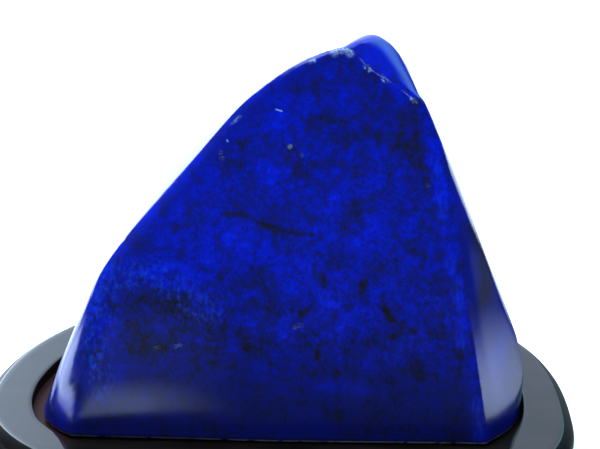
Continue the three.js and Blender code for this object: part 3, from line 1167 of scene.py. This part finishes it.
cracks = broken(fine_line(CRACKS, 0.20, 1.10), 330.0, 0.10, 0.42, strength=0.24)
flecks = broken(kept("flecked"), 560.0, 0.44, 0.74, strength=0.58, stretch=(1.4, 1.0, 0.75))
streaks = broken(kept("streaked"), 700.0, 0.36, 0.66, strength=0.45, stretch=(1.6, 1.0, 0.4))
grey_spots = broken(
    fine_line(GREY_SPOTS, 0.10, 1.00), 1500.0, 0.42, 0.72, strength=0.60, stretch=(0.5, 1.0, 1.5)
)
grey_grain = times(lapis_tree, fine_line(GREY_GRAIN, 0.35, 0.55), 0.85)
scratches = broken(fine_line(SCRATCHES, 0.03, 0.36), 700.0, 0.34, 0.56, strength=0.55)
chips = broken(fine_line(CHIPS, 0.10, 0.95), 1300.0, 0.40, 0.66, strength=0.65)
corner_chip = broken(
    fine_line(CORNER_CHIP, 0.05, 1.9), 1100.0, 0.30, 0.74, strength=0.78, stretch=(0.6, 1.0, 1.3)
)

lapis_colour = ramp(lapis_tree, maths(lapis_tree, "SUBTRACT", blue, cracks), BLUES)
lapis_colour = mixed(lapis_tree, flecks, lapis_colour, FLECK_BLUE)
lapis_colour = mixed(lapis_tree, streaks, lapis_colour, STREAK_BLUE)
lapis_colour = mixed(lapis_tree, greatest(grey_spots, grey_grain), lapis_colour, STONE_GREY)
lapis_colour = mixed(lapis_tree, greatest(scratches, chips, corner_chip), lapis_colour, ICE_BLUE)
print("thin marks drawn")

# %% [markdown]
# ## The stone: foot line and polish
#
# Where the stone meets its recess, a pale hairline is painted along the foot, a painted
# highlight where the edge catches the light. Just above the foot the wheel left the stone a
# little less shiny. The hairline could be a strip of its own, but then it would have an edge.
# Both come from the height above the foot instead.

# %% Foot line and polish
# painted highlight: the pale hairline along the foot's edge, where it catches the light
FOOT_HIGHLIGHT = (0.45, 0.47, 0.66, 1.0)
FOOT_LINE_HEIGHT = 0.7
FOOT_LINE_WIDTHS = (0.2, 0.6)            # full and gone at these distances from its height
FOOT_LINE_BREAKS = (240.0, 0.32, 0.52)
FOOT_LINE_LEFT, FOOT_LINE_RIGHT = -60.0, 30.0
FOOT_LINE_AT_LEFT = 0.4                  # its strength left of the first, full right of the second
POLISH_LUMPS, POLISH_DETAIL = 60.0, 4.0
POLISH_ROUGHNESS = (0.06, 0.11)
POLISH_RISES_TO = 18.0
FOOT_DULLNESS = 0.16
LAPIS_IOR = 1.52

lapis_way = add_node(lapis_tree, "ShaderNodeSeparateXYZ", {0: lapis_place}).outputs
foot_height = maths(lapis_tree, "SUBTRACT", lapis_way["Z"], stone_low.z * MM)
from_line = maths(lapis_tree, "ABSOLUTE", maths(lapis_tree, "SUBTRACT", foot_height, FOOT_LINE_HEIGHT * MM))
full, gone = FOOT_LINE_WIDTHS
foot_highlight = broken(between(lapis_tree, from_line, full * MM, gone * MM, 1.0, 0.0), *FOOT_LINE_BREAKS, 1.0)
line_strength = between(
    lapis_tree, lapis_way["X"], FOOT_LINE_LEFT * MM, FOOT_LINE_RIGHT * MM, FOOT_LINE_AT_LEFT, 1.0
)
lapis_colour = mixed(lapis_tree, times(lapis_tree, foot_highlight, line_strength), lapis_colour, FOOT_HIGHLIGHT)
polish_tone = cloud(lapis_tree, lapis_place, POLISH_LUMPS, POLISH_DETAIL)
polish_roughness = between(lapis_tree, polish_tone, 0.3, 0.7, *POLISH_ROUGHNESS)
foot_dullness = between(lapis_tree, foot_height, 0.0, POLISH_RISES_TO * MM, FOOT_DULLNESS, 0.0)
lapis_roughness = maths(lapis_tree, "ADD", polish_roughness, foot_dullness)
lapis_shader = add_node(
    lapis_tree, "ShaderNodeBsdfPrincipled",
    {"Base Color": lapis_colour, "Roughness": lapis_roughness, "IOR": LAPIS_IOR},
)
finish_material(lapis_tree, lapis_shader)
stone.data.materials.clear()
stone.data.materials.append(lapis)
print("lapis:", len(lapis_tree.nodes), "nodes")

# %% [markdown]
# ## The stand's finishes
#
# The flat rim is lacquered and shines like a dark mirror. The edge of the plate, the cove and
# the foot are stained black and left duller, and in the recess the knife has gone through the
# lacquer to dark brown wood. At the recess's left end that wood is painted brown and lighter,
# painted light where light falls into the recess. One material with a mask could do it. Three
# materials on three groups of faces are plainer, because the borders follow the edges of the shape.

# %% Three finishes of the stand
WOOD_GRAIN_STRETCH = (0.12, 1.0, 1.0)
WOOD_GRAIN_LUMPS = 420.0
WOOD_TONES_AT = (0.35, 0.68)
DUST_PER_METRE = 95.0
DUST_SIZE = (0.02, 0.05)             # full and gone at these shares of a cell
DUST_SHARE = (0.90, 0.92)            # only cells past this lot hold a speck
DUST_GREY = (0.32, 0.33, 0.33, 1.0)
DUST_STRENGTH = 0.5
# painted light: left of these the recess is painted brown and lighter, where light falls into it
LIT_BROWN_LEFT_OF = (-62.0, -72.0)
LACQUER_IOR = 1.5


def wood_finish(name, dark, light, roughness, shine, lit_brown=None):
    """A wood material between two tones with a faint grain along the stand; given a lit brown, its left end
    is painted lighter, as painted light.
    """
    material, tree = new_material(name)
    place = add_node(tree, "ShaderNodeTexCoord").outputs["Object"]
    along_grain = vector_maths(tree, "MULTIPLY", place, WOOD_GRAIN_STRETCH)["Vector"]
    wood_grain = cloud(tree, along_grain, WOOD_GRAIN_LUMPS, 4.0, 0.6)
    colour = ramp(tree, wood_grain, list(zip(WOOD_TONES_AT, (dark, light))))
    dust = add_node(tree, "ShaderNodeTexVoronoi", {"Vector": place, "Scale": DUST_PER_METRE}).outputs
    lot = add_node(tree, "ShaderNodeSeparateColor", {"Color": dust["Color"]}).outputs["Red"]
    speck = between(tree, dust["Distance"], *DUST_SIZE, 1.0, 0.0)
    speck = times(tree, speck, between(tree, lot, *DUST_SHARE), DUST_STRENGTH)
    colour = mixed(tree, speck, colour, DUST_GREY)
    # painted light: the left end painted brown and lighter
    if lit_brown:
        side = add_node(tree, "ShaderNodeSeparateXYZ", {0: place}).outputs["X"]
        lit_brown_share = between(tree, side, *(edge * MM for edge in LIT_BROWN_LEFT_OF))
        colour = mixed(tree, lit_brown_share, colour, (*lit_brown, 1.0))
    shader = add_node(
        tree, "ShaderNodeBsdfPrincipled",
        {"Base Color": colour, "Roughness": roughness, "IOR": LACQUER_IOR, "Specular IOR Level": shine},
    )
    finish_material(tree, shader)
    return material


finishes = {
    "rim": wood_finish("black_lacquer", (0.005, 0.004, 0.004), (0.012, 0.008, 0.008), 0.14, 0.5),
    "edge": wood_finish("dull_edge", (0.001, 0.001, 0.001), (0.005, 0.003, 0.003), 0.45, 0.07),
    "recess": wood_finish(
        "carved_recess", (0.002, 0.002, 0.002), (0.008, 0.005, 0.005), 0.40, 0.06, lit_brown=(0.018, 0.006, 0.006)
    ),
}
for material in finishes.values():
    stand.data.materials.append(material)
print("finishes:", ", ".join(finishes))

# %% Which faces get which
EDGE_BELOW_RIM = 0.12


def finish_of(face):
    """The finish of one face of the stand, from where the face lies."""
    x, y, z = face.center / MM
    if z >= STAND_HEIGHT - EDGE_BELOW_RIM:
        return "rim"
    in_recess = math.hypot(x, y) < recess_radius(math.atan2(y, x)) + LIP_ROUND / 2
    return "recess" if in_recess else "edge"


order = list(finishes)
for face in stand.data.polygons:
    face.material_index = order.index(finish_of(face))
face_kinds = [face.material_index for face in stand.data.polygons]
print("faces of each finish:", [face_kinds.count(place) for place in range(len(order))])

# %% [markdown]
# ## Attach the pieces
#
# Nothing on this piece moves, so both meshes could stay as they are. They are still tied to
# the model's one body, and the solids they stand in for are hidden, so that whoever moves or
# weighs the construction model finds its looks in the same place.

# %% Attach the pieces to the body
for piece, node_name, slot_name in (
    (stone, "lapis_stone", "lapis"),
    (stand, "wooden_stand", "lacquered_wood"),
):
    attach(piece, "root")
    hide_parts(node_name)
